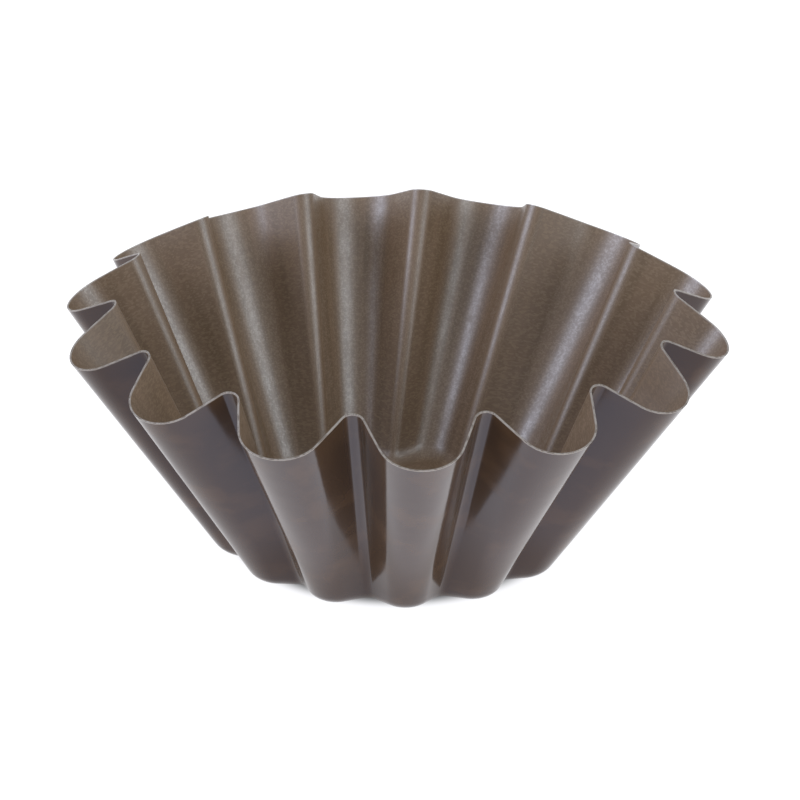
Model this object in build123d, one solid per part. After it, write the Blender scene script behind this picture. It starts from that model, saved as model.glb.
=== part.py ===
from build123d import *

import os
from dataclasses import dataclass
from math import acos, atan2, cos, degrees, pi, radians, sin, tan

# A fluted brioche mould, drawn and fluted in a press from one round disc of coated steel sheet.
# It stands on the floor plane z = 0 with its axis on Z. All lengths are in millimetres.
# The disc's cut edge is the rim. It stands square to the wall, and dips where the lobes draw it outwards.

# The mould as a whole, measured on its outer surface: reaches are radii to the outside of the lobes,
# and flute depths run in from there to the valleys.
flute_count = 14
valley_rim_height = 78.0
rim_dip = 9.5
rim_reach = 100.0
rim_flute_depth = 16.0
base_reach = 53.5
base_flute_depth = 5.5
base_corner_radius = 8.0

# The arcs of one flute, as shares of its half width, at the base and at the rim.
base_lobe_arc_share = 0.72
base_valley_arc_share = 0.24
rim_lobe_arc_share = 0.71
rim_valley_arc_share = 0.18

# The press left the flutes at the back out of their even row: they stand further round, most of all at
# the base, and further in at the rim. Angles are in degrees, counted from +X. The stray comes in between
# its start and its first full angle, and goes out between its second full angle and its end.
stray_start = 38.0
stray_full_from = 66.0
stray_full_to = 138.0
stray_end = 192.0
base_stray_turn = 8.3
rim_stray_turn = 3.0
rim_stray_inset = 1.25

# The sheet and its two baked coatings.
steel_thickness = 0.4
outer_coating_thickness = 0.05
inner_coating_thickness = 0.05

# How much of a base lobe's own arc the corner's rounding may use up, where the flutes get narrow,
# and the number of even steps in which it turns up from the floor.
corner_arc_share = 0.9
corner_steps = 8

# One overrun for the stock that the walls are made with above the rim.
overrun = 5.0

# Places that follow from the sizes above.
half_pitch = pi / flute_count
lobe_rim_height = valley_rim_height - rim_dip
rim_valley_reach = rim_reach - rim_flute_depth
base_valley_reach = base_reach - base_flute_depth
lobe_lean = atan2(rim_reach - base_reach, lobe_rim_height)
valley_lean = atan2(rim_valley_reach - base_valley_reach, valley_rim_height)
mean_lean = (lobe_lean + valley_lean) / 2
run_per_radius = tan((pi / 2 - mean_lean) / 2)
stock_height = valley_rim_height + overrun


@dataclass(frozen=True)
class Arc:
    """One round stretch of a fluted outline: a lobe, or a valley where the radius is below zero."""

    centre: Vector
    radius: float

    def point(self, normal):
        """The point of the arc whose outward normal this is."""
        return self.centre + normal * self.radius


def between(low, high, share):
    """A size that grows steadily from its value at the base to its value at the rim."""
    return low + (high - low) * share


def stray_share(angle):
    """How much of the stray a flute has, from 0 to 1, by the angle in radians of its even place."""
    coming = (degrees(angle) - stray_start) / (stray_full_from - stray_start)
    going = (stray_end - degrees(angle)) / (stray_end - stray_full_to)
    share = max(0, min(1, coming, going))
    return (1 - cos(pi * share)) / 2


def fluted_arcs(height, inset):
    """The arcs of the outline at one height, lobe and valley in turn, drawn in by an inset."""
    rise_share = height / valley_rim_height
    lobe_reach = between(base_reach, rim_reach, height / lobe_rim_height)
    valley_reach = between(base_valley_reach, rim_valley_reach, rise_share)
    lobe_share = between(base_lobe_arc_share, rim_lobe_arc_share, rise_share)
    valley_share = between(base_valley_arc_share, rim_valley_arc_share, rise_share)
    stray_turn = radians(between(base_stray_turn, rim_stray_turn, rise_share))
    stray_inset = rim_stray_inset * rise_share

    def direction(number):
        even = half_pitch * number
        return even + stray_turn * stray_share(even)

    arcs = []
    for number in range(2 * flute_count):
        half_width = valley_reach * sin((direction(number + 1) - direction(number - 1)) / 2)
        if number % 2:
            radius = -half_width * valley_share
            reach = valley_reach
        else:
            radius = half_width * lobe_share
            reach = lobe_reach
        reach -= stray_inset * stray_share(half_pitch * number)
        outwards = Vector(cos(direction(number)), sin(direction(number)))
        arcs.append(Arc(outwards * (reach - radius) + Vector(0, 0, height), radius - inset))
    return arcs


def flank_normal(first, second):
    """The outward normal of the straight flank that touches two neighbouring arcs."""
    across = second.centre - first.centre
    turn = acos((first.radius - second.radius) / across.length)
    return across.normalized().rotate(Axis.Z, -degrees(turn))


def fluted_outline(height, inset):
    """The closed outline at one height: lobe arc, flank, valley arc and flank, flute after flute."""
    arcs = fluted_arcs(height, inset)
    next_arcs = arcs[1:] + arcs[:1]
    normals = [flank_normal(first, second) for first, second in zip(arcs, next_arcs)]
    last_normals = normals[-1:] + normals[:-1]
    edges = []
    for arc, next_arc, last_normal, normal in zip(arcs, next_arcs, last_normals, normals):
        middle = (last_normal + normal).normalized()
        flank_start = arc.point(normal)
        edges.append(Edge.make_three_point_arc(arc.point(last_normal), arc.point(middle), flank_start))
        edges.append(Edge.make_line(flank_start, next_arc.point(normal)))
    return Wire(edges)


def corner_radius():
    """The rounding between floor and wall on the outside, limited where the lobes are too tight."""
    tightest_lobe = min(arc.radius for arc in fluted_arcs(0, 0) if arc.radius > 0)
    return min(base_corner_radius, corner_arc_share * tightest_lobe / run_per_radius)


def skin(depth):
    """The solid inside one surface of the sheet, which lies at a depth under the outer surface.

    Its rounding turns from the floor to the wall in even steps, about the same centres at all depths.
    """
    wall_inset = depth / cos(mean_lean)
    radius = corner_radius() - depth
    outlines = []
    for step in range(corner_steps + 1):
        turn = (pi / 2 - mean_lean) * step / corner_steps
        rise = radius * (1 - cos(turn))
        rounding_inset = rise * tan(mean_lean) + radius * (run_per_radius - sin(turn))
        outlines.append(fluted_outline(depth + rise, wall_inset + rounding_inset))
    outlines.append(fluted_outline(stock_height, wall_inset))
    return Solid.make_loft(outlines, ruled=True)


def above_rim():
    """The space over the mould, bounded below by the cone that the disc's edge lies on."""
    steepness = rim_dip / rim_flute_depth
    stock_reach = between(base_reach, rim_reach, stock_height / lobe_rim_height)
    reach = max(base_reach, stock_reach) + overrun
    apex_height = valley_rim_height + steepness * rim_valley_reach
    edge_height = apex_height - steepness * reach
    top_height = apex_height + overrun
    corners = [(0, 0, apex_height), (reach, 0, edge_height), (reach, 0, top_height), (0, 0, top_height)]
    return Solid.revolve(Face(Wire.make_polygon(corners, close=True)), 360, Axis.Z)


def layer(outside, inside, cutter):
    """One layer of the sheet: the walls of two skins, a flat ring over their stock, cut at the rim."""
    outer_lid = outside.faces().sort_by(Axis.Z)[-1]
    inner_lid = inside.faces().sort_by(Axis.Z)[-1]
    walls = [face for face in outside.faces() if not face.is_same(outer_lid)]
    walls += [face for face in inside.faces() if not face.is_same(inner_lid)]
    ring = Face(outer_lid.outer_wire(), [inner_lid.outer_wire()])
    return Solid(Shell(walls + [ring])) - cutter


def main():
    """Builds the three layers from the outside in and writes one file for each."""
    steel_depth = outer_coating_thickness
    nonstick_depth = steel_depth + steel_thickness
    hollow_depth = nonstick_depth + inner_coating_thickness
    outer_face = skin(0)
    steel_outer_face = skin(steel_depth)
    steel_inner_face = skin(nonstick_depth)
    inner_face = skin(hollow_depth)
    cutter = above_rim()
    layers = {
        "outer_lacquer_coating": layer(outer_face, steel_outer_face, cutter),
        "steel_shell": layer(steel_outer_face, steel_inner_face, cutter),
        "inner_nonstick_coating": layer(steel_inner_face, inner_face, cutter),
    }
    os.makedirs("parts", exist_ok=True)
    for name, solid in layers.items():
        export_step(solid, f"parts/{name}.step")
        print(name, "volume", round(solid.volume, 1), "valid", solid.is_valid)


main()
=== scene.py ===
"""A fluted brioche mould, pressed from one round disc of coated sheet steel, on a pale floor.

Lengths are in millimetres and angles in degrees unless a name or docstring says otherwise.
Finished meshes are in metres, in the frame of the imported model.
"""

import logging
from dataclasses import dataclass
from itertools import pairwise
from math import acos, atan2, cos, degrees, floor, hypot, pi, radians, sin, sqrt, tan
from typing import Any

import bmesh
import bpy
from mathutils import Matrix, Vector


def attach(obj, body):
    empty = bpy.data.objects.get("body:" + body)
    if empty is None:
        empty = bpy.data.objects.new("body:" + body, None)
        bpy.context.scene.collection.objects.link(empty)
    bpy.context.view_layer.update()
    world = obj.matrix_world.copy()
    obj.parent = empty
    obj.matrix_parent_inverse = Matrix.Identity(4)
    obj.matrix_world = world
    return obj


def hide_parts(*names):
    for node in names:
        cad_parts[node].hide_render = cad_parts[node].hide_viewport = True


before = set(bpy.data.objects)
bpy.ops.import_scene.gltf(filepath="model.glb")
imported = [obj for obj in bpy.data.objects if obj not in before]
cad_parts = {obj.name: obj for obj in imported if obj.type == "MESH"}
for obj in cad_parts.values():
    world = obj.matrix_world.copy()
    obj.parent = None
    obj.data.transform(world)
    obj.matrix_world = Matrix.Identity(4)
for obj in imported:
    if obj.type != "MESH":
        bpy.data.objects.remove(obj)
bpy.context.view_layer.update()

log = logging.getLogger("brioche_mould")

MM = 0.001

# The mesh attribute that keeps each point's place on the flat disc, in millimetres.
FLAT = "flat_place"

# Most values of a noise lie between these two.
NOISE_LOW = 0.3
NOISE_HIGH = 0.7

# Depths in the sheet are told apart by this many digits of a millimetre.
DEPTH_DIGITS = 4

# Two points of a layer are one where they are nearer than this share of its thickness.
MERGE_SHARE = 0.1

# A point lies inside a limiting radius where its own is under this share of it, which takes up rounding.
INSIDE_SHARE = 1 - 1e-5


def linear(colour: str) -> tuple[float, float, float, float]:
    """Turns an sRGB hex colour into the linear colour that the shaders take.

    Args:
        colour: six hex digits after a hash sign.

    Returns:
        Linear red, green, blue and an alpha of one.
    """
    shares = [int(colour[place:place + 2], 16) / 255 for place in (1, 3, 5)]
    red, green, blue = (
        share / 12.92 if share <= 0.04045 else ((share + 0.055) / 1.055) ** 2.4
        for share in shares
    )
    return red, green, blue, 1.0


def add_node(
    tree: bpy.types.NodeTree,
    kind: str,
    links: dict[str | int, Any] | None = None,
    **settings: Any,
) -> bpy.types.Node:
    """Adds one node with its settings and links.

    Args:
        tree: the node tree that gets the node.
        kind: the node's type.
        links: for each input, either the output socket that feeds it or its own value.
        settings: the node's other properties.

    Returns:
        The new node.
    """
    node = tree.nodes.new(kind)
    for name, value in settings.items():
        setattr(node, name, value)
    for place, value in (links or {}).items():
        if isinstance(value, bpy.types.NodeSocket):
            tree.links.new(value, node.inputs[place])
        else:
            node.inputs[place].default_value = value
    return node


def between(low: float, high: float, share: float) -> float:
    """Returns the value that lies a share of the way from low to high."""
    return low + (high - low) * share


def settle_order(disc: bmesh.types.BMesh) -> None:
    """Lists a mesh's edges and faces by their corners. Spin lists them differently on each run.

    Args:
        disc: the mesh, changed in place.
    """
    disc.verts.index_update()
    for parts in (disc.edges, disc.faces):
        ordered = sorted(parts, key=lambda part: sorted(vert.index for vert in part.verts))
        for number, part in enumerate(ordered):
            part.index = number
        parts.sort()


def direction(azimuth: float, elevation: float) -> Vector:
    """Returns the unit vector that points to an azimuth from +X and an elevation, in degrees."""
    turn, climb = radians(azimuth), radians(elevation)
    return Vector((cos(turn) * cos(climb), sin(turn) * cos(climb), sin(climb)))


@dataclass(frozen=True)
class Arc:
    """One round stretch of a fluted outline: a lobe, or a valley where the radius is below zero."""

    centre: Vector
    radius: float

    def point(self, normal: Vector) -> Vector:
        """Returns the point of the arc whose outward normal this is."""
        return self.centre + normal * self.radius


@dataclass(frozen=True)
class Outline:
    """The closed outline of one face of the sheet at one height.

    A place on it counts lobe and valley middles: 0 on the first lobe, 1 on the valley after it,
    and so on. An arc reaches a fixed half width, in places, to each side of its middle.
    """

    arcs: list[Arc]

    LOBE_HALF = 0.5
    VALLEY_HALF = 0.3

    def arc(self, number: int) -> Arc:
        """Returns an arc by its number, which may count on past the last one."""
        return self.arcs[number % len(self.arcs)]

    def half(self, number: int) -> float:
        """Returns how far an arc reaches to each side of its middle, in places."""
        return self.VALLEY_HALF if number % 2 else self.LOBE_HALF

    def flank_normal(self, number: int) -> Vector:
        """Finds the straight flank that touches an arc and the next one.

        Args:
            number: the number of the first of the two arcs.

        Returns:
            The flank's outward normal.
        """
        first, second = self.arc(number), self.arc(number + 1)
        across = second.centre - first.centre
        turn = acos((first.radius - second.radius) / across.length)
        return Matrix.Rotation(-turn, 3, "Z") @ across.normalized()

    def at(self, place: float) -> Vector:
        """Finds a point of the outline.

        Args:
            place: the place, counted in lobe and valley middles.

        Returns:
            The point, on an arc or on the flank between two.
        """
        nearest = round(place)
        reach = self.half(nearest)
        if abs(place - nearest) <= reach:
            share = (place - nearest + reach) / (2 * reach)
            normal = self.flank_normal(nearest - 1).slerp(self.flank_normal(nearest), share)
            return self.arc(nearest).point(normal)
        last = floor(place)
        normal = self.flank_normal(last)
        share = (place - last - self.half(last)) / (1 - self.LOBE_HALF - self.VALLEY_HALF)
        return self.arc(last).point(normal).lerp(self.arc(last + 1).point(normal), share)


@dataclass(frozen=True)
class Stray:
    """How the press left the flutes at the back out of their even row, with angles in degrees from +X.

    They stand further round, most of all at the base, and further in at the rim.
    """

    start: float = 38.0
    full_from: float = 66.0
    full_to: float = 138.0
    end: float = 192.0
    base_turn: float = 8.3
    rim_turn: float = 3.0
    rim_inset: float = 1.25

    def share(self, even: float) -> float:
        """Works out how much of the stray a flute has.

        Args:
            even: the angle of its even place, in radians.

        Returns:
            A share from 0 to 1, which comes in and goes out softly.
        """
        coming = (degrees(even) - self.start) / (self.full_from - self.start)
        going = (self.end - degrees(even)) / (self.end - self.full_to)
        share = max(0.0, min(1.0, coming, going))
        return (1 - cos(pi * share)) / 2


@dataclass(frozen=True)
class PressedForm:
    """The shape that the press gives the sheet, with the sizes of its outer face."""

    flute_count: int = 14
    valley_rim_height: float = 78.0
    rim_dip: float = 9.5
    rim_reach: float = 100.0
    rim_flute_depth: float = 16.0
    base_reach: float = 53.5
    base_flute_depth: float = 5.5
    base_corner_radius: float = 8.0
    base_lobe_arc_share: float = 0.72
    base_valley_arc_share: float = 0.24
    rim_lobe_arc_share: float = 0.71
    rim_valley_arc_share: float = 0.18
    head_room: float = 5.0
    stray: Stray = Stray()

    @property
    def half_pitch(self) -> float:
        """Half the angle from lobe to lobe, in radians."""
        return pi / self.flute_count

    @property
    def rim_valley_reach(self) -> float:
        """The reach of a valley at the rim."""
        return self.rim_reach - self.rim_flute_depth

    @property
    def base_valley_reach(self) -> float:
        """The reach of a valley at the base."""
        return self.base_reach - self.base_flute_depth

    @property
    def lobe_rim_height(self) -> float:
        """The height of the rim over a lobe."""
        return self.valley_rim_height - self.rim_dip

    @property
    def mean_lean(self) -> float:
        """Works out how far the wall leans outwards.

        Returns:
            The mean of its lean over lobes and over valleys, in radians.
        """
        lobe_lean = atan2(self.rim_reach - self.base_reach, self.lobe_rim_height)
        valley_lean = atan2(self.rim_valley_reach - self.base_valley_reach, self.valley_rim_height)
        return (lobe_lean + valley_lean) / 2

    def direction(self, number: int, rise_share: float) -> float:
        """Works out where round the axis a lobe or valley stands.

        Args:
            number: the number of its arc.
            rise_share: the height, as a share of the height of the rim's valleys.

        Returns:
            Its direction in radians.
        """
        even = self.half_pitch * number
        turn = between(self.stray.base_turn, self.stray.rim_turn, rise_share)
        return even + radians(turn) * self.stray.share(even)

    def outline(self, height: float, inset: float) -> Outline:
        """Draws the outline at one height.

        Args:
            height: the height over the ground.
            inset: how far the outline is drawn in from the outer face, in plan.

        Returns:
            The outline, lobe and valley in turn from the lobe nearest +X.
        """
        rise_share = height / self.valley_rim_height
        lobe_reach = between(self.base_reach, self.rim_reach, height / self.lobe_rim_height)
        valley_reach = between(self.base_valley_reach, self.rim_valley_reach, rise_share)
        lobe_share = between(self.base_lobe_arc_share, self.rim_lobe_arc_share, rise_share)
        valley_share = between(self.base_valley_arc_share, self.rim_valley_arc_share, rise_share)
        arcs = []
        for number in range(2 * self.flute_count):
            width = self.direction(number + 1, rise_share) - self.direction(number - 1, rise_share)
            half_width = valley_reach * sin(width / 2)
            if number % 2:
                radius = -half_width * valley_share
                reach = valley_reach
            else:
                radius = half_width * lobe_share
                reach = lobe_reach
            reach -= self.stray.rim_inset * rise_share * self.stray.share(self.half_pitch * number)
            turn = self.direction(number, rise_share)
            centre = Vector((cos(turn) * (reach - radius), sin(turn) * (reach - radius), height))
            arcs.append(Arc(centre, radius - inset))
        return Outline(arcs)

    def face(self, depth: float, corner_steps: int) -> "SheetFace":
        """Draws one face of the sheet.

        Args:
            depth: how far the face lies inside the outer one.
            corner_steps: the number of steps in which its corner turns up from the floor.

        Returns:
            The face.
        """
        wall_inset = depth / cos(self.mean_lean)
        radius = self.base_corner_radius - depth
        run = radius * tan((pi / 2 - self.mean_lean) / 2)
        corner = []
        for step in range(corner_steps + 1):
            turn = (pi / 2 - self.mean_lean) * step / corner_steps
            rise = radius * (1 - cos(turn))
            rounding_inset = rise * tan(self.mean_lean) + run - radius * sin(turn)
            corner.append(self.outline(depth + rise, wall_inset + rounding_inset))
        head = self.outline(self.valley_rim_height + self.head_room, wall_inset)
        return SheetFace(self, corner, head)

    def rim_share(self, foot: Vector, head: Vector) -> float:
        """Finds where a straight line up the wall meets the cone that the disc's cut edge lies on.

        Args:
            foot: the line's lower end.
            head: its upper end, over the rim.

        Returns:
            The share of the line that lies under the cone.
        """
        run = head - foot
        flat_foot, flat_run = foot.xy, run.xy
        steepness = self.rim_dip / self.rim_flute_depth
        drop = self.valley_rim_height + steepness * self.rim_valley_reach - foot.z
        square = run.z ** 2 - steepness ** 2 * flat_run.length_squared
        half_linear = run.z * drop + steepness ** 2 * flat_foot.dot(flat_run)
        constant = drop ** 2 - steepness ** 2 * flat_foot.length_squared
        return (half_linear - sqrt(half_linear ** 2 - square * constant)) / square


@dataclass(frozen=True)
class SheetFace:
    """One face of the pressed sheet: the outlines its corner turns through, and one over the rim."""

    form: PressedForm
    corner: list[Outline]
    head: Outline

    def on_floor(self, place: float, share: float) -> Vector:
        """Returns the point of the floor a share of the way out from the axis to the corner."""
        edge = self.corner[0].at(place)
        return Vector((edge.x * share, edge.y * share, edge.z))

    def wall(self, place: float) -> tuple[Vector, Vector]:
        """Finds the straight line up the wall at one place.

        Args:
            place: the place round the outlines.

        Returns:
            The line's lower end at the corner and its upper end at the rim.
        """
        foot = self.corner[-1].at(place)
        head = self.head.at(place)
        return foot, foot.lerp(head, self.form.rim_share(foot, head))


@dataclass(frozen=True)
class Blank:
    """The flat disc before the press, with the rings that the mesh keeps.

    Its three lengths are radial: the part that becomes the floor, the corner and the wall.
    """

    floor_length: float = 44.0
    corner_length: float = 8.5
    wall_length: float = 83.0
    floor_rings: int = 4
    corner_rings: int = 8
    wall_rings: int = 26
    steps_per_flute: int = 40

    @property
    def corner_radius(self) -> float:
        """The disc's radius at the outer end of the part that becomes the corner."""
        return self.floor_length + self.corner_length

    @property
    def half_wall_radius(self) -> float:
        """The disc's radius halfway up the part that becomes the wall."""
        return self.corner_radius + self.wall_length / 2

    @property
    def radius(self) -> float:
        """The disc's own radius."""
        return self.corner_radius + self.wall_length

    def ring_radii(self) -> list[float]:
        """Works out the rings.

        Returns:
            Their radii, from the middle out.
        """
        radii = []
        for start, length, rings in (
            (0.0, self.floor_length, self.floor_rings),
            (self.floor_length, self.corner_length, self.corner_rings),
            (self.corner_radius, self.wall_length, self.wall_rings),
        ):
            radii += [start + length * number / rings for number in range(rings)]
        return radii + [self.radius]

    def spin(self, outer_depth: float, inner_depth: float, flute_count: int) -> bmesh.types.BMesh:
        """Spins one layer of the disc from its radial section.

        One flute's sector is spun and then repeated round the axis, which is much quicker
        than one full spin.

        Args:
            outer_depth: the depth of the layer's outer face, which lies lowest.
            inner_depth: the depth of its inner face.
            flute_count: the number of flutes, and so of sectors.

        Returns:
            A closed thin disc, whose heights are depths in the sheet.
        """
        disc = bmesh.new()
        radii = self.ring_radii()
        outer = [disc.verts.new((radius, 0, outer_depth)) for radius in radii]
        inner = [disc.verts.new((radius, 0, inner_depth)) for radius in reversed(radii)]
        edges = [disc.edges.new(pair) for pair in pairwise(outer + inner)]
        pitch = 2 * pi / flute_count
        bmesh.ops.spin(
            disc,
            geom=outer + inner + edges,
            axis=(0, 0, 1),
            cent=(0, 0, 0),
            angle=pitch,
            steps=self.steps_per_flute,
        )
        sector = disc.verts[:] + disc.edges[:] + disc.faces[:]
        for number in range(1, flute_count):
            copy = bmesh.ops.duplicate(disc, geom=sector)
            verts = [item for item in copy["geom"] if isinstance(item, bmesh.types.BMVert)]
            turn = Matrix.Rotation(pitch * number, 3, "Z")
            bmesh.ops.rotate(disc, cent=(0, 0, 0), matrix=turn, verts=verts)
        thickness = inner_depth - outer_depth
        bmesh.ops.remove_doubles(disc, verts=disc.verts, dist=thickness * MERGE_SHARE)
        bmesh.ops.recalc_face_normals(disc, faces=disc.faces)
        settle_order(disc)
        return disc


class Finish:
    """What all finishes share: a named material round their own shader."""

    title = ""

    def shader(self, tree: bpy.types.NodeTree) -> bpy.types.Node:
        """Adds the finish's patterns and the shader that they feed, and returns the shader."""
        raise NotImplementedError

    def material(self) -> bpy.types.Material:
        """Builds the material.

        Returns:
            The material, which holds the finish's shader and nothing else.
        """
        material = bpy.data.materials.new(self.title)
        material.use_nodes = True
        tree = material.node_tree
        tree.nodes.clear()
        shader = self.shader(tree)
        add_node(tree, "ShaderNodeOutputMaterial", {"Surface": shader.outputs["BSDF"]})
        return material


@dataclass(frozen=True)
class SheetFinish(Finish):
    """What the finishes of the sheet share: patterns that follow it as it lay flat."""

    blank: Blank = Blank()

    def flat_place(self, tree: bpy.types.NodeTree) -> bpy.types.NodeSocket:
        """Returns each point's place on the flat disc, in millimetres."""
        return add_node(tree, "ShaderNodeAttribute", attribute_name=FLAT).outputs["Vector"]

    def drawn_place(
        self, tree: bpy.types.NodeTree, flat: bpy.types.NodeSocket, width: float, length: float,
    ) -> bpy.types.NodeSocket:
        """Stretches the flat place along the lines in which the press draws the sheet.

        Args:
            tree: the node tree.
            flat: the flat place.
            width: the width of a streak halfway up the wall, in millimetres.
            length: its length.

        Returns:
            Coordinates in streak sizes.
        """
        streaks_around = self.blank.half_wall_radius / width
        ray = add_node(tree, "ShaderNodeVectorMath", {0: flat}, operation="NORMALIZE").outputs["Vector"]
        reach = add_node(tree, "ShaderNodeVectorMath", {0: flat}, operation="LENGTH").outputs["Value"]
        around = add_node(
            tree, "ShaderNodeVectorMath", {0: ray, "Scale": streaks_around}, operation="SCALE",
        ).outputs["Vector"]
        along = add_node(tree, "ShaderNodeMath", {0: reach, 1: length}, operation="DIVIDE")
        up = add_node(tree, "ShaderNodeCombineXYZ", {"Z": along.outputs["Value"]}).outputs["Vector"]
        place = add_node(tree, "ShaderNodeVectorMath", {0: around, 1: up}, operation="ADD")
        return place.outputs["Vector"]


@dataclass(frozen=True)
class BakedCoating(SheetFinish):
    """What the two coatings share: the shear chipped them back from the cut edge.

    The chips are as long and as deep as chip_size and chip_depth, in a band of worn_width.
    """

    chip_size: float = 1.5
    chip_depth: float = 0.3
    worn_width: float = 0.25
    chipped_colour: str = "#8f857c"

    def edge_wear(
        self, tree: bpy.types.NodeTree, flat: bpy.types.NodeSocket, colour: bpy.types.NodeSocket,
    ) -> bpy.types.NodeSocket:
        """Lets pale metal show through the chips.

        Args:
            tree: the node tree.
            flat: the flat place.
            colour: the coating's colour.

        Returns:
            The coating's colour with its worn edge.
        """
        reach = add_node(tree, "ShaderNodeVectorMath", {0: flat}, operation="LENGTH").outputs["Value"]
        chips = add_node(tree, "ShaderNodeTexNoise", {"Vector": flat, "Scale": 1 / self.chip_size})
        ragged_reach = add_node(
            tree, "ShaderNodeMath", {0: chips.outputs["Fac"], 1: self.chip_depth, 2: reach},
            operation="MULTIPLY_ADD",
        ).outputs["Value"]
        worn = add_node(
            tree, "ShaderNodeMapRange",
            {
                "Value": ragged_reach,
                "From Min": self.blank.radius - self.worn_width,
                "From Max": self.blank.radius,
            },
            interpolation_type="SMOOTHSTEP",
        ).outputs["Result"]
        mixed = add_node(
            tree, "ShaderNodeMix",
            {0: worn, 6: colour, 7: linear(self.chipped_colour)},
            data_type="RGBA",
        )
        return mixed.outputs[2]


@dataclass(frozen=True)
class BronzeNonStick(BakedCoating):
    """Sprayed and baked non-stick film with mica flakes.

    It gives the eye a satin bronze that is dark in the depth of the tin and pale along the ridges,
    with a fine glitter of flakes and faint streaks where the press drew the sheet.
    """

    title = "bronze_nonstick_film"
    film_colour: str = "#5d4832"
    pale_film_colour: str = "#68523d"
    flake_colour: str = "#8b7761"
    ior: float = 1.75
    smooth_roughness: float = 0.42
    rough_roughness: float = 0.49
    # Real mica flakes are 0.02 to 0.1 mm. They are drawn at 0.45 mm, so that they show in the render.
    flake_size: float = 0.45
    flake_relief: float = 0.03
    flake_paleness: float = 0.34
    flake_gloss: float = 0.09
    # The share of the flakes that lie too deep in the film to glitter.
    deep_share: float = 0.3
    streak_width: float = 1.6
    streak_length: float = 45.0
    blotch_size: float = 14.0

    def glitter(self, tree: bpy.types.NodeTree, flat: bpy.types.NodeSocket) -> bpy.types.NodeSocket:
        """Scatters the flakes.

        Args:
            tree: the node tree.
            flat: the flat place.

        Returns:
            How much each flake glitters, from 0 to 1.
        """
        flakes = add_node(tree, "ShaderNodeTexVoronoi", {"Vector": flat, "Scale": 1 / self.flake_size})
        chance = add_node(tree, "ShaderNodeSeparateColor", {"Color": flakes.outputs["Color"]})
        shine = add_node(
            tree, "ShaderNodeMapRange", {"Value": chance.outputs["Red"], "From Min": self.deep_share},
            interpolation_type="SMOOTHSTEP",
        )
        return shine.outputs["Result"]

    def colour(
        self, tree: bpy.types.NodeTree, flat: bpy.types.NodeSocket, glitter: bpy.types.NodeSocket,
    ) -> bpy.types.NodeSocket:
        """Colours the film: streaks of a paler tone, and the flakes on them.

        Args:
            tree: the node tree.
            flat: the flat place.
            glitter: how much each flake glitters.

        Returns:
            The film's colour.
        """
        drawn = self.drawn_place(tree, flat, self.streak_width, self.streak_length)
        streaks = add_node(tree, "ShaderNodeTexNoise", {"Vector": drawn, "Scale": 1.0})
        streak_share = add_node(
            tree, "ShaderNodeMapRange",
            {"Value": streaks.outputs["Fac"], "From Min": NOISE_LOW, "From Max": NOISE_HIGH},
            interpolation_type="SMOOTHSTEP",
        ).outputs["Result"]
        film = add_node(
            tree, "ShaderNodeMix",
            {0: streak_share, 6: linear(self.film_colour), 7: linear(self.pale_film_colour)},
            data_type="RGBA",
        ).outputs[2]
        flake_share = add_node(
            tree, "ShaderNodeMath", {0: glitter, 1: self.flake_paleness}, operation="MULTIPLY",
        ).outputs["Value"]
        flaked = add_node(
            tree, "ShaderNodeMix",
            {0: flake_share, 6: film, 7: linear(self.flake_colour)},
            data_type="RGBA",
        )
        return flaked.outputs[2]

    def roughness(
        self, tree: bpy.types.NodeTree, flat: bpy.types.NodeSocket, glitter: bpy.types.NodeSocket,
    ) -> bpy.types.NodeSocket:
        """Varies the film's gloss in blotches, and smooths the flakes.

        Args:
            tree: the node tree.
            flat: the flat place.
            glitter: how much each flake glitters.

        Returns:
            The film's roughness.
        """
        blotches = add_node(tree, "ShaderNodeTexNoise", {"Vector": flat, "Scale": 1 / self.blotch_size})
        blotched = add_node(
            tree, "ShaderNodeMapRange",
            {
                "Value": blotches.outputs["Fac"],
                "From Min": NOISE_LOW,
                "From Max": NOISE_HIGH,
                "To Min": self.smooth_roughness,
                "To Max": self.rough_roughness,
            },
            interpolation_type="SMOOTHSTEP",
        ).outputs["Result"]
        flaked = add_node(
            tree, "ShaderNodeMath", {0: glitter, 1: -self.flake_gloss, 2: blotched},
            operation="MULTIPLY_ADD",
        )
        return flaked.outputs["Value"]

    def shader(self, tree: bpy.types.NodeTree) -> bpy.types.Node:
        """Adds the film's patterns and shader.

        Args:
            tree: the node tree.

        Returns:
            The shader.
        """
        flat = self.flat_place(tree)
        glitter = self.glitter(tree, flat)
        colour = self.colour(tree, flat, glitter)
        grain = add_node(tree, "ShaderNodeTexNoise", {"Vector": flat, "Scale": 1 / self.flake_size})
        relief = add_node(
            tree, "ShaderNodeBump",
            {"Height": grain.outputs["Fac"], "Strength": 1.0, "Distance": self.flake_relief * MM},
        )
        return add_node(
            tree, "ShaderNodeBsdfPrincipled",
            {
                "Base Color": self.edge_wear(tree, flat, colour),
                "Roughness": self.roughness(tree, flat, glitter),
                "Normal": relief.outputs["Normal"],
                "IOR": self.ior,
            },
        )


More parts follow.
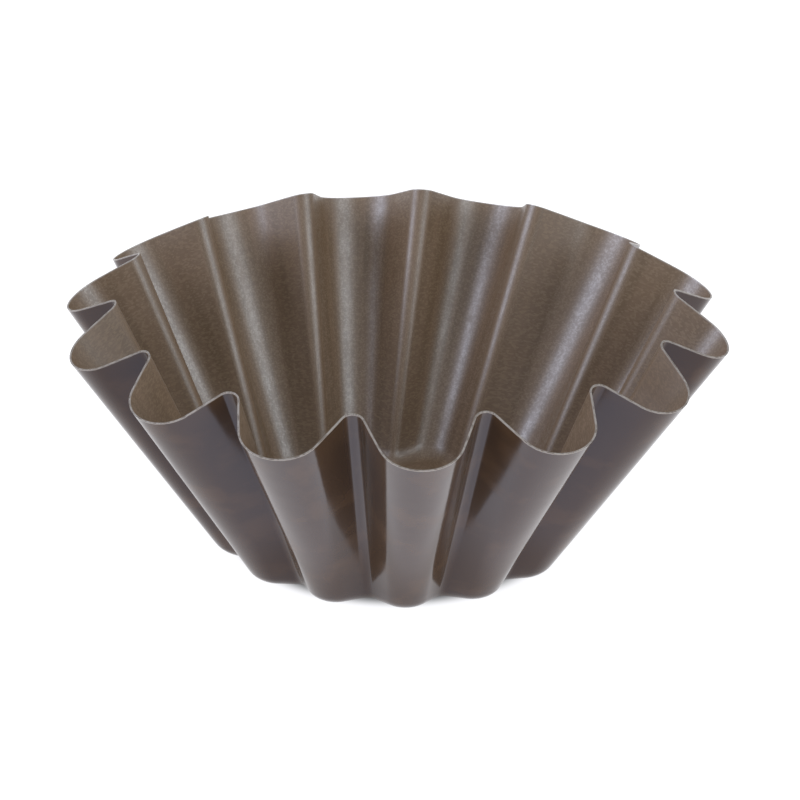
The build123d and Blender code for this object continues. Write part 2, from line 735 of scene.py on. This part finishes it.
@dataclass(frozen=True)
class BrownBakedLacquer(BakedCoating):
    """Roller-coated and baked brown lacquer.

    It gives the eye a deep brown under a hard gloss that mirrors whatever the wall faces,
    with faint smudges from handling.
    """

    title = "brown_baked_lacquer"
    clean_colour: str = "#3b2917"
    smudged_colour: str = "#44301c"
    clean_roughness: float = 0.12
    smudged_roughness: float = 0.2
    ior: float = 1.47
    # A painted cool tint on the lacquer's reflections, which makes them bluer than the light they throw
    # back.
    painted_reflection_tint: str = "#cfddff"
    smudge_size: float = 12.0
    smudge_detail: float = 4.0
    # The values of the smudges' noise at which the colour and the gloss start and end their change.
    stain_starts: float = 0.5
    stain_ends: float = 0.66
    dulling_starts: float = 0.45
    dulling_ends: float = 0.7
    # The pressed sheet has low waves, which make the edges of a reflection wander.
    wave_size: float = 9.0
    wave_height: float = 0.05

    def shader(self, tree: bpy.types.NodeTree) -> bpy.types.Node:
        """Adds the lacquer's patterns and shader.

        Args:
            tree: the node tree.

        Returns:
            The shader.
        """
        flat = self.flat_place(tree)
        smudges = add_node(
            tree, "ShaderNodeTexNoise",
            {"Vector": flat, "Scale": 1 / self.smudge_size, "Detail": self.smudge_detail},
        ).outputs["Fac"]
        stain = add_node(
            tree, "ShaderNodeMapRange",
            {"Value": smudges, "From Min": self.stain_starts, "From Max": self.stain_ends},
            interpolation_type="SMOOTHSTEP",
        ).outputs["Result"]
        colour = add_node(
            tree, "ShaderNodeMix",
            {0: stain, 6: linear(self.clean_colour), 7: linear(self.smudged_colour)},
            data_type="RGBA",
        ).outputs[2]
        roughness = add_node(
            tree, "ShaderNodeMapRange",
            {
                "Value": smudges,
                "From Min": self.dulling_starts,
                "From Max": self.dulling_ends,
                "To Min": self.clean_roughness,
                "To Max": self.smudged_roughness,
            },
            interpolation_type="SMOOTHSTEP",
        ).outputs["Result"]
        waves = add_node(tree, "ShaderNodeTexNoise", {"Vector": flat, "Scale": 1 / self.wave_size})
        relief = add_node(
            tree, "ShaderNodeBump",
            {"Height": waves.outputs["Fac"], "Strength": 1.0, "Distance": self.wave_height * MM},
        )
        return add_node(
            tree, "ShaderNodeBsdfPrincipled",
            {
                "Base Color": self.edge_wear(tree, flat, colour),
                "Roughness": roughness,
                "Normal": relief.outputs["Normal"],
                "IOR": self.ior,
                # The painted cool tint of the reflections.
                "Specular Tint": linear(self.painted_reflection_tint),
            },
        )


@dataclass(frozen=True)
class ShearedSteel(SheetFinish):
    """Mild steel sheet, bare only where the shear cut it.

    It gives the eye the thin pale line round the rim, broken by burrs and dull spots.
    """

    title = "sheared_steel"
    bright_colour: str = "#bdb6b0"
    dull_colour: str = "#90867e"
    roughness: float = 0.36
    spot_size: float = 1.2
    # The values of the spots' noise at which they start and are full.
    spot_starts: float = 0.4
    spot_ends: float = 0.65

    def shader(self, tree: bpy.types.NodeTree) -> bpy.types.Node:
        """Adds the steel's spots and shader.

        Args:
            tree: the node tree.

        Returns:
            The shader.
        """
        flat = self.flat_place(tree)
        spots = add_node(tree, "ShaderNodeTexNoise", {"Vector": flat, "Scale": 1 / self.spot_size})
        dull_share = add_node(
            tree, "ShaderNodeMapRange",
            {"Value": spots.outputs["Fac"], "From Min": self.spot_starts, "From Max": self.spot_ends},
            interpolation_type="SMOOTHSTEP",
        ).outputs["Result"]
        colour = add_node(
            tree, "ShaderNodeMix",
            {0: dull_share, 6: linear(self.bright_colour), 7: linear(self.dull_colour)},
            data_type="RGBA",
        ).outputs[2]
        return add_node(
            tree, "ShaderNodeBsdfPrincipled",
            {"Base Color": colour, "Metallic": 1.0, "Roughness": self.roughness},
        )


@dataclass(frozen=True)
class OpalTableTop(Finish):
    """Matt opal glass lit from below, as under objects that are photographed on pure white.

    Its glow is set by place, with no lamp under it: a painted shadow makes it dim under the mould and
    rising to an even white further out, and a painted pool of light makes it brightest before the mould.
    """

    title = "opal_table_top"
    glow_colour: str = "#f5f5f8"
    # Strengths of the glow. Under the mould it is dimmed to a painted shadow; a painted rise further out
    # and a painted pool of light before the mould come on top of the rest.
    painted_shadow_glow: float = 0.13
    near_mould: float = 1.1
    painted_open_glow: float = 0.18
    painted_pool_glow: float = 0.8
    # Distances from the mould's axis, or from the middle of the painted pool of light, in metres.
    painted_shadow_ends: float = 0.044
    near_starts: float = 0.0515
    near_ends: float = 0.056
    pool_starts: float = 0.071
    open_starts: float = 0.16
    pool_place: tuple[float, float, float] = (0.020, -0.088, 0.0)
    pool_core: float = 0.03
    pool_reach: float = 0.13

    def glow_with_painted_shade(self, tree: bpy.types.NodeTree, reach: bpy.types.NodeSocket) -> bpy.types.NodeSocket:
        """Paints shade round the mould: the glow is dim under it and rises further out.

        Args:
            tree: the node tree.
            reach: the distance from the mould's axis, in metres.

        Returns:
            The strength of the glow.
        """
        # A painted shadow under the mould.
        near = add_node(
            tree, "ShaderNodeMapRange",
            {
                "Value": reach,
                "From Min": self.painted_shadow_ends,
                "From Max": self.near_starts,
                "To Min": self.painted_shadow_glow,
                "To Max": self.near_mould,
            },
            interpolation_type="SMOOTHSTEP",
        ).outputs["Result"]
        # A painted rise of the glow away from the mould, which leaves painted shade round it.
        far = add_node(
            tree, "ShaderNodeMapRange",
            {
                "Value": reach,
                "From Min": self.near_ends,
                "From Max": self.open_starts,
                "To Max": self.painted_open_glow,
            },
            interpolation_type="SMOOTHSTEP",
        ).outputs["Result"]
        return add_node(tree, "ShaderNodeMath", {0: near, 1: far}, operation="ADD").outputs["Value"]

    def shader(self, tree: bpy.types.NodeTree) -> bpy.types.Node:
        """Adds the glow, with its painted shadow and painted pool of light, and its shader.

        Args:
            tree: the node tree.

        Returns:
            The shader.
        """
        place = add_node(tree, "ShaderNodeTexCoord").outputs["Object"]
        reach = add_node(tree, "ShaderNodeVectorMath", {0: place}, operation="LENGTH").outputs["Value"]
        # A painted pool of light before the mould, which no lamp casts.
        from_pool = add_node(
            tree, "ShaderNodeVectorMath", {0: place, 1: self.pool_place}, operation="DISTANCE",
        ).outputs["Value"]
        painted_pool = add_node(
            tree, "ShaderNodeMapRange",
            {
                "Value": from_pool,
                "From Min": self.pool_core,
                "From Max": self.pool_reach,
                "To Min": self.painted_pool_glow,
                "To Max": 0.0,
            },
            interpolation_type="SMOOTHSTEP",
        ).outputs["Result"]
        pool_share = add_node(
            tree, "ShaderNodeMapRange",
            {"Value": reach, "From Min": self.near_ends, "From Max": self.pool_starts},
            interpolation_type="SMOOTHSTEP",
        ).outputs["Result"]
        glow = add_node(
            tree, "ShaderNodeMath", {0: painted_pool, 1: pool_share, 2: self.glow_with_painted_shade(tree, reach)},
            operation="MULTIPLY_ADD",
        )
        return add_node(
            tree, "ShaderNodeBsdfPrincipled",
            {
                "Base Color": linear("#000000"),
                "Roughness": 1.0,
                "Specular IOR Level": 0.0,
                "Emission Color": linear(self.glow_colour),
                "Emission Strength": glow.outputs["Value"],
            },
        )


@dataclass(frozen=True)
class SheetLayer:
    """One layer of the coated sheet, from its flat disc to its dressed place in the mould."""

    name: str
    node: str
    material_slot: str
    outer_depth: float
    inner_depth: float
    form: PressedForm
    blank: Blank
    finish: Finish

    def mark_edges(self, disc: bmesh.types.BMesh) -> None:
        """Shades the faces smooth, and keeps the two edges of the cut rim sharp.

        Args:
            disc: the layer's spun disc, still flat, changed in place.
        """
        rim_radius = self.blank.radius * INSIDE_SHARE
        for face in disc.faces:
            face.smooth = True
        for edge in disc.edges:
            on_rim = all(hypot(vert.co.x, vert.co.y) > rim_radius for vert in edge.verts)
            depths = {round(vert.co.z, DEPTH_DIGITS) for vert in edge.verts}
            edge.smooth = not (on_rim and len(depths) == 1)

    def press(self, disc: bmesh.types.BMesh) -> None:
        """Draws the flat disc into the fluted mould and keeps each point's flat place.

        Args:
            disc: the layer's spun disc, changed in place.
        """
        flat_place = disc.verts.layers.float_vector.new(FLAT)
        steps = self.blank.steps_per_flute * self.form.flute_count
        faces: dict[float, SheetFace] = {}
        walls: dict[tuple[int, float], tuple[Vector, Vector]] = {}
        for vert in disc.verts:
            vert[flat_place] = vert.co.copy()
            depth = round(vert.co.z, DEPTH_DIGITS)
            radius = hypot(vert.co.x, vert.co.y)
            step = round(atan2(vert.co.y, vert.co.x) / (2 * pi) * steps) % steps
            place = 2 * step / self.blank.steps_per_flute
            if depth not in faces:
                faces[depth] = self.form.face(depth, self.blank.corner_rings)
            if (step, depth) not in walls:
                walls[step, depth] = faces[depth].wall(place)
            vert.co = self.pressed(radius, place, faces[depth], walls[step, depth])

    def pressed(self, radius: float, place: float, face: SheetFace, wall: tuple[Vector, Vector]) -> Vector:
        """Finds where the press brings a point of the disc.

        Args:
            radius: the point's distance from the middle of the flat disc.
            place: its place round the outlines.
            face: the face of the sheet that it lies on.
            wall: the lower and upper end of the wall's line at that place.

        Returns:
            The point's place in the mould.
        """
        blank = self.blank
        if radius < blank.floor_length * INSIDE_SHARE:
            return face.on_floor(place, radius / blank.floor_length)
        if radius < blank.corner_radius * INSIDE_SHARE:
            share = (radius - blank.floor_length) / blank.corner_length
            return face.corner[round(share * blank.corner_rings)].at(place)
        return wall[0].lerp(wall[1], (radius - blank.corner_radius) / blank.wall_length)

    def build(self) -> bpy.types.Object:
        """Makes the layer's mesh and object.

        Returns:
            The object, whose place in the mould is in its mesh, in metres.
        """
        disc = self.blank.spin(self.outer_depth, self.inner_depth, self.form.flute_count)
        self.mark_edges(disc)
        self.press(disc)
        bmesh.ops.scale(disc, vec=(MM, MM, MM), verts=disc.verts)
        mesh = bpy.data.meshes.new(self.name)
        disc.to_mesh(mesh)
        disc.free()
        piece = bpy.data.objects.new(self.name, mesh)
        bpy.context.scene.collection.objects.link(piece)
        return piece

    def dress(self, piece: bpy.types.Object) -> None:
        """Gives the layer its material and body, and hides the imported part of its node.

        Args:
            piece: the layer's object.
        """
        piece.data.materials.append(self.finish.material())
        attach(piece, "root")
        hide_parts(self.node)


@dataclass(frozen=True)
class BriocheMould:
    """The whole mould: two coatings with the steel between them."""

    form: PressedForm = PressedForm()
    blank: Blank = Blank()
    outer_coating: float = 0.05
    steel: float = 0.4
    inner_coating: float = 0.05

    def layers(self) -> list[SheetLayer]:
        """Sets out the layers.

        Returns:
            The layers from the outside in.
        """
        steel_depth = self.outer_coating
        nonstick_depth = steel_depth + self.steel
        hollow_depth = nonstick_depth + self.inner_coating
        return [
            SheetLayer(
                name="lacquered_outside", node="outer_lacquer_coating", material_slot="brown_lacquer",
                outer_depth=0.0, inner_depth=steel_depth,
                form=self.form, blank=self.blank, finish=BrownBakedLacquer(blank=self.blank),
            ),
            SheetLayer(
                name="pressed_steel_sheet", node="steel_shell", material_slot="bare_steel",
                outer_depth=steel_depth, inner_depth=nonstick_depth,
                form=self.form, blank=self.blank, finish=ShearedSteel(blank=self.blank),
            ),
            SheetLayer(
                name="nonstick_inside", node="inner_nonstick_coating", material_slot="bronze_nonstick",
                outer_depth=nonstick_depth, inner_depth=hollow_depth,
                form=self.form, blank=self.blank, finish=BronzeNonStick(blank=self.blank),
            ),
        ]

    def build(self) -> list[bpy.types.Object]:
        """Builds and dresses the layers.

        Returns:
            Their objects.
        """
        pieces = []
        for layer in self.layers():
            piece = layer.build()
            layer.dress(piece)
            pieces.append(piece)
        return pieces


@dataclass(frozen=True)
class Viewpoint:
    """The photograph's camera. Its distance and aim height are in metres, its angles in degrees."""

    azimuth: float = -82.05
    elevation: float = 25.127
    distance: float = 1.53983
    aim_height: float = 0.039
    pan: float = 0.0607
    tilt: float = 0.1759
    roll: float = 0.9064
    lens: float = 229.57
    sensor: float = 36.0

    def build(self) -> bpy.types.Object:
        """Sets the camera up and makes it the scene's own.

        Returns:
            The camera.
        """
        data = bpy.data.cameras.new("photo_camera")
        data.lens = self.lens
        data.sensor_width = self.sensor
        camera = bpy.data.objects.new("photo_camera", data)
        bpy.context.scene.collection.objects.link(camera)
        place = direction(self.azimuth, self.elevation) * self.distance
        place.z += self.aim_height
        camera.matrix_world = (
            Matrix.Translation(place)
            @ Matrix.Rotation(radians(self.azimuth + 90), 4, "Z")
            @ Matrix.Rotation(radians(90 - self.elevation), 4, "X")
            @ Matrix.Rotation(radians(-self.pan), 4, "Y")
            @ Matrix.Rotation(radians(self.tilt), 4, "X")
            @ Matrix.Rotation(radians(self.roll), 4, "Z")
        )
        bpy.context.scene.camera = camera
        return camera


@dataclass(frozen=True)
class Softbox:
    """One large soft light that looks at the mould. Its lengths are in metres, its power in watts."""

    name: str
    azimuth: float
    elevation: float
    size: float
    power: float
    colour: str
    distance: float = 1.3
    aim_height: float = 0.04

    def build(self) -> bpy.types.Object:
        """Hangs the light.

        Returns:
            The light.
        """
        data = bpy.data.lights.new(self.name, "AREA")
        data.shape = "SQUARE"
        data.size = self.size
        data.energy = self.power
        data.color = linear(self.colour)[:3]
        light = bpy.data.objects.new(self.name, data)
        bpy.context.scene.collection.objects.link(light)
        away = direction(self.azimuth, self.elevation)
        place = away * self.distance
        place.z += self.aim_height
        light.location = place
        light.rotation_euler = away.to_track_quat("Z", "Y").to_euler()
        return light


@dataclass(frozen=True)
class Studio:
    """A plain pale floor under even light, with two soft lights before the mould."""

    camera_azimuth: float = Viewpoint.azimuth
    floor_reach: float = 6.0
    room_colour: str = "#fafcff"
    horizon_strength: float = 0.82
    ceiling_strength: float = 0.54
    # How far up a direction points where the ceiling starts: 0 is level and 1 is straight up.
    ceiling_starts: float = 0.45

    def softboxes(self) -> list[Softbox]:
        """Sets out the lights round the camera's own direction.

        Returns:
            The two lights, left and right of the camera.
        """
        return [
            Softbox(
                "left_window", azimuth=self.camera_azimuth - 76, elevation=31,
                size=0.75, power=13.6, colour="#dfe8ff",
            ),
            Softbox(
                "right_softbox", azimuth=self.camera_azimuth + 56, elevation=33,
                size=0.9, power=11.8, colour="#e9f3fc",
            ),
        ]

    def lay_floor(self) -> bpy.types.Object:
        """Makes the floor.

        Returns:
            The floor's object.
        """
        sheet = bmesh.new()
        bmesh.ops.create_grid(sheet, x_segments=1, y_segments=1, size=self.floor_reach)
        mesh = bpy.data.meshes.new("studio_floor")
        sheet.to_mesh(mesh)
        sheet.free()
        table = bpy.data.objects.new("studio_floor", mesh)
        bpy.context.scene.collection.objects.link(table)
        mesh.materials.append(OpalTableTop().material())
        return table

    def light_world(self) -> None:
        """Sets the even light from all round, which is dimmer towards the ceiling.

        A world's Generated coordinates are the directions in which it is seen.
        """
        world = bpy.data.worlds.new("studio")
        world.use_nodes = True
        tree = world.node_tree
        tree.nodes.clear()
        place = add_node(tree, "ShaderNodeTexCoord")
        parts = add_node(tree, "ShaderNodeSeparateXYZ", {0: place.outputs["Generated"]})
        strength = add_node(
            tree, "ShaderNodeMapRange",
            {
                "Value": parts.outputs["Z"],
                "From Max": self.ceiling_starts,
                "To Min": self.horizon_strength,
                "To Max": self.ceiling_strength,
            },
        )
        background = add_node(
            tree, "ShaderNodeBackground",
            {"Color": linear(self.room_colour), "Strength": strength.outputs["Result"]},
        )
        add_node(tree, "ShaderNodeOutputWorld", {"Surface": background.outputs["Background"]})
        bpy.context.scene.world = world
        bpy.context.scene.view_settings.view_transform = "Standard"

    def build(self) -> list[bpy.types.Object]:
        """Lays the floor, lights the world and hangs the lights.

        Returns:
            The floor and the lights.
        """
        self.light_world()
        return [self.lay_floor()] + [light.build() for light in self.softboxes()]


def main() -> None:
    """Builds the mould, the studio and the camera, and reports each piece."""
    logging.basicConfig(level=logging.INFO, format="%(name)s: %(message)s")
    for piece in BriocheMould().build():
        mesh = piece.data
        log.info("%s: %d faces, in %s", piece.name, len(mesh.polygons), mesh.materials[0].name)
    for prop in Studio().build() + [Viewpoint().build()]:
        log.info("%s: at %s", prop.name, prop.location)


if __name__ == "__main__":
    main()
